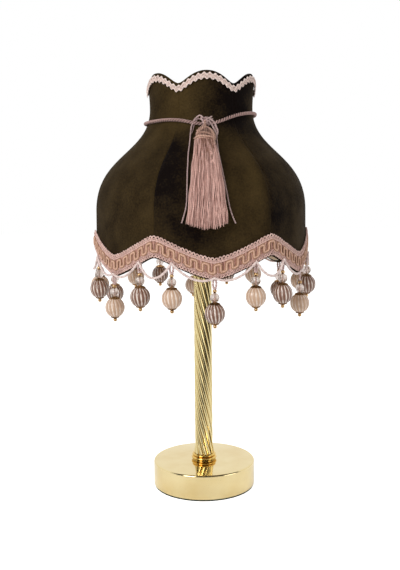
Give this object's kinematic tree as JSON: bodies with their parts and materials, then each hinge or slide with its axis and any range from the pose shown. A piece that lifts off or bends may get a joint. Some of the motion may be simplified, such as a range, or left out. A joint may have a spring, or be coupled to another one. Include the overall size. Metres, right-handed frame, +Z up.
{
  "type": "table lamp",
  "caption": "Table lamp with a round brass base, a rope-twist stem and a scalloped velvet shade trimmed with braid, a tassel and hanging bead drops.",
  "frame": {"origin": "centre of the underside of the felt pad under the base", "axes": "+Z up along the stem, -Y towards the front, where the tassel hangs, +X to the right"},
  "size_m": [0.3182, 0.316, 0.5881],
  "materials": {
    "polished_brass": "polished light gold",
    "collar_brass": "polished deeper gold",
    "holder_brass": "satin",
    "steel": "zinc plated",
    "cast_iron": "rough black",
    "felt": "dark green felt",
    "black_plastic": "moulded",
    "porcelain": "glazed",
    "opal_glass": "opal",
    "frame_enamel": "white enamelled wire",
    "lining_cloth": "pale lining",
    "velvet": "dark olive-brown velvet",
    "gimp_braid": "mauve-pink scroll gimp",
    "neck_cord": "twisted mauve cord",
    "pink_braid": "dusty pink woven braid",
    "swag_cord": "cream satin cord",
    "tassel_silk": "dusty pink rayon strands",
    "cream_bead": "fluted bead, beige with lighter grooves",
    "taupe_bead": "fluted bead, taupe with pale grooves"
  },
  "bodies": {
    "stand": {"felt_pad": "felt", "base_shell": "polished_brass", "base_cover_plate": "steel", "base_weight": "cast_iron", "cover_screw_1": "steel", "cover_screw_2": "steel", "cover_screw_3": "steel", "cable_gland": "black_plastic", "rod_nut": "steel", "lock_washer": "steel", "threaded_rod": "steel", "stem_collar": "collar_brass", "stem_tube": "polished_brass", "stem_top_cap": "collar_brass", "holder_cap": "holder_brass", "holder_body": "holder_brass", "ceramic_insert": "porcelain", "side_contact": "holder_brass", "centre_contact": "holder_brass"},
    "switch": {"switch_bar": "black_plastic"},
    "retaining_ring": {"shade_ring": "holder_brass"},
    "bulb": {"bulb_cap": "steel", "bulb_globe": "opal_glass"},
    "shade": {"wire_frame": "frame_enamel", "fitter_spider": "frame_enamel", "velvet_panel_1": "velvet", "velvet_panel_2": "velvet", "velvet_panel_3": "velvet", "velvet_panel_4": "velvet", "velvet_panel_5": "velvet", "velvet_panel_6": "velvet", "lining": "lining_cloth", "top_gimp": "gimp_braid", "bottom_braid": "pink_braid", "neck_cord": "neck_cord", "swag_cord": "swag_cord", "tassel_knot": "tassel_silk", "tassel_tail_left": "tassel_silk", "tassel_tail_right": "tassel_silk"},
    "tassel": {"tassel_head": "tassel_silk", "tassel_skirt": "tassel_silk"},
    "drop_01": {"bead_drop_01": "cream_bead"},
    "drop_02": {"bead_drop_02": "taupe_bead"},
    "drop_03": {"bead_drop_03": "cream_bead"},
    "drop_04": {"bead_drop_04": "taupe_bead"},
    "drop_05": {"bead_drop_05": "cream_bead"},
    "drop_06": {"bead_drop_06": "taupe_bead"},
    "drop_07": {"bead_drop_07": "cream_bead"},
    "drop_08": {"bead_drop_08": "taupe_bead"},
    "drop_09": {"bead_drop_09": "cream_bead"},
    "drop_10": {"bead_drop_10": "taupe_bead"},
    "drop_11": {"bead_drop_11": "cream_bead"},
    "drop_12": {"bead_drop_12": "taupe_bead"},
    "drop_13": {"bead_drop_13": "cream_bead"},
    "drop_14": {"bead_drop_14": "taupe_bead"},
    "drop_15": {"bead_drop_15": "cream_bead"},
    "drop_16": {"bead_drop_16": "taupe_bead"},
    "drop_17": {"bead_drop_17": "cream_bead"},
    "drop_18": {"bead_drop_18": "taupe_bead"}
  },
  "joints": [
    {"name": "switch_push", "type": "slide", "parent": "stand", "child": "switch", "axis": [1, 0, 0], "range_m": [0, 0.006]},
    {"name": "retaining_ring_turn", "type": "hinge", "parent": "stand", "child": "retaining_ring", "pos_m": [0, 0, 0.39], "axis": [0, 0, 1], "range_deg": [0, 720]},
    {"name": "bulb_turn", "type": "hinge", "parent": "stand", "child": "bulb", "pos_m": [0, 0, 0.4], "axis": [0, 0, 1], "range_deg": [0, 1080]},
    {"name": "shade_turn", "type": "hinge", "parent": "stand", "child": "shade", "pos_m": [0, 0, 0.385], "axis": [0, 0, 1], "continuous": true},
    {"name": "tassel_lift", "type": "hinge", "parent": "shade", "child": "tassel", "pos_m": [-0.00486, -0.07955, 0.52295], "axis": [-0.9981, 0.061, 0], "range_deg": [0, 65]},
    {"name": "drop_01_swing", "type": "hinge", "parent": "shade", "child": "drop_01", "pos_m": [-0.05378, -0.13866, 0.33812], "axis": [-0.9317, 0.3633, 0], "range_deg": [-40, 40]},
    {"name": "drop_02_swing", "type": "hinge", "parent": "shade", "child": "drop_02", "pos_m": [0, -0.14541, 0.31921], "axis": [-1, 0, 0], "range_deg": [-40, 40]},
    {"name": "drop_03_swing", "type": "hinge", "parent": "shade", "child": "drop_03", "pos_m": [0.05378, -0.13866, 0.33812], "axis": [-0.9317, -0.3633, 0], "range_deg": [-40, 40]},
    {"name": "drop_04_swing", "type": "hinge", "parent": "shade", "child": "drop_04", "pos_m": [0.09319, -0.1159, 0.33812], "axis": [-0.7804, -0.6252, 0], "range_deg": [-40, 40]},
    {"name": "drop_05_swing", "type": "hinge", "parent": "shade", "child": "drop_05", "pos_m": [0.12593, -0.07271, 0.31921], "axis": [-0.5, -0.866, 0], "range_deg": [-40, 40]},
    {"name": "drop_06_swing", "type": "hinge", "parent": "shade", "child": "drop_06", "pos_m": [0.14697, -0.02275, 0.33812], "axis": [-0.1513, -0.9885, 0], "range_deg": [-40, 40]},
    {"name": "drop_07_swing", "type": "hinge", "parent": "shade", "child": "drop_07", "pos_m": [0.14697, 0.02275, 0.33812], "axis": [0.1513, -0.9885, 0], "range_deg": [-40, 40]},
    {"name": "drop_08_swing", "type": "hinge", "parent": "shade", "child": "drop_08", "pos_m": [0.12593, 0.07271, 0.31921], "axis": [0.5, -0.866, 0], "range_deg": [-40, 40]},
    {"name": "drop_09_swing", "type": "hinge", "parent": "shade", "child": "drop_09", "pos_m": [0.09319, 0.1159, 0.33812], "axis": [0.7804, -0.6252, 0], "range_deg": [-40, 40]},
    {"name": "drop_10_swing", "type": "hinge", "parent": "shade", "child": "drop_10", "pos_m": [0.05378, 0.13866, 0.33812], "axis": [0.9317, -0.3633, 0], "range_deg": [-40, 40]},
    {"name": "drop_11_swing", "type": "hinge", "parent": "shade", "child": "drop_11", "pos_m": [0, 0.14541, 0.31921], "axis": [1, 0, 0], "range_deg": [-40, 40]},
    {"name": "drop_12_swing", "type": "hinge", "parent": "shade", "child": "drop_12", "pos_m": [-0.05378, 0.13866, 0.33812], "axis": [0.9317, 0.3633, 0], "range_deg": [-40, 40]},
    {"name": "drop_13_swing", "type": "hinge", "parent": "shade", "child": "drop_13", "pos_m": [-0.09319, 0.1159, 0.33812], "axis": [0.7804, 0.6252, 0], "range_deg": [-40, 40]},
    {"name": "drop_14_swing", "type": "hinge", "parent": "shade", "child": "drop_14", "pos_m": [-0.12593, 0.07271, 0.31921], "axis": [0.5, 0.866, 0], "range_deg": [-40, 40]},
    {"name": "drop_15_swing", "type": "hinge", "parent": "shade", "child": "drop_15", "pos_m": [-0.14697, 0.02275, 0.33812], "axis": [0.1513, 0.9885, 0], "range_deg": [-40, 40]},
    {"name": "drop_16_swing", "type": "hinge", "parent": "shade", "child": "drop_16", "pos_m": [-0.14697, -0.02275, 0.33812], "axis": [-0.1513, 0.9885, 0], "range_deg": [-40, 40]},
    {"name": "drop_17_swing", "type": "hinge", "parent": "shade", "child": "drop_17", "pos_m": [-0.12593, -0.07271, 0.31921], "axis": [-0.5, 0.866, 0], "range_deg": [-40, 40]},
    {"name": "drop_18_swing", "type": "hinge", "parent": "shade", "child": "drop_18", "pos_m": [-0.09319, -0.1159, 0.33812], "axis": [-0.7804, 0.6252, 0], "range_deg": [-40, 40]}
  ]
}
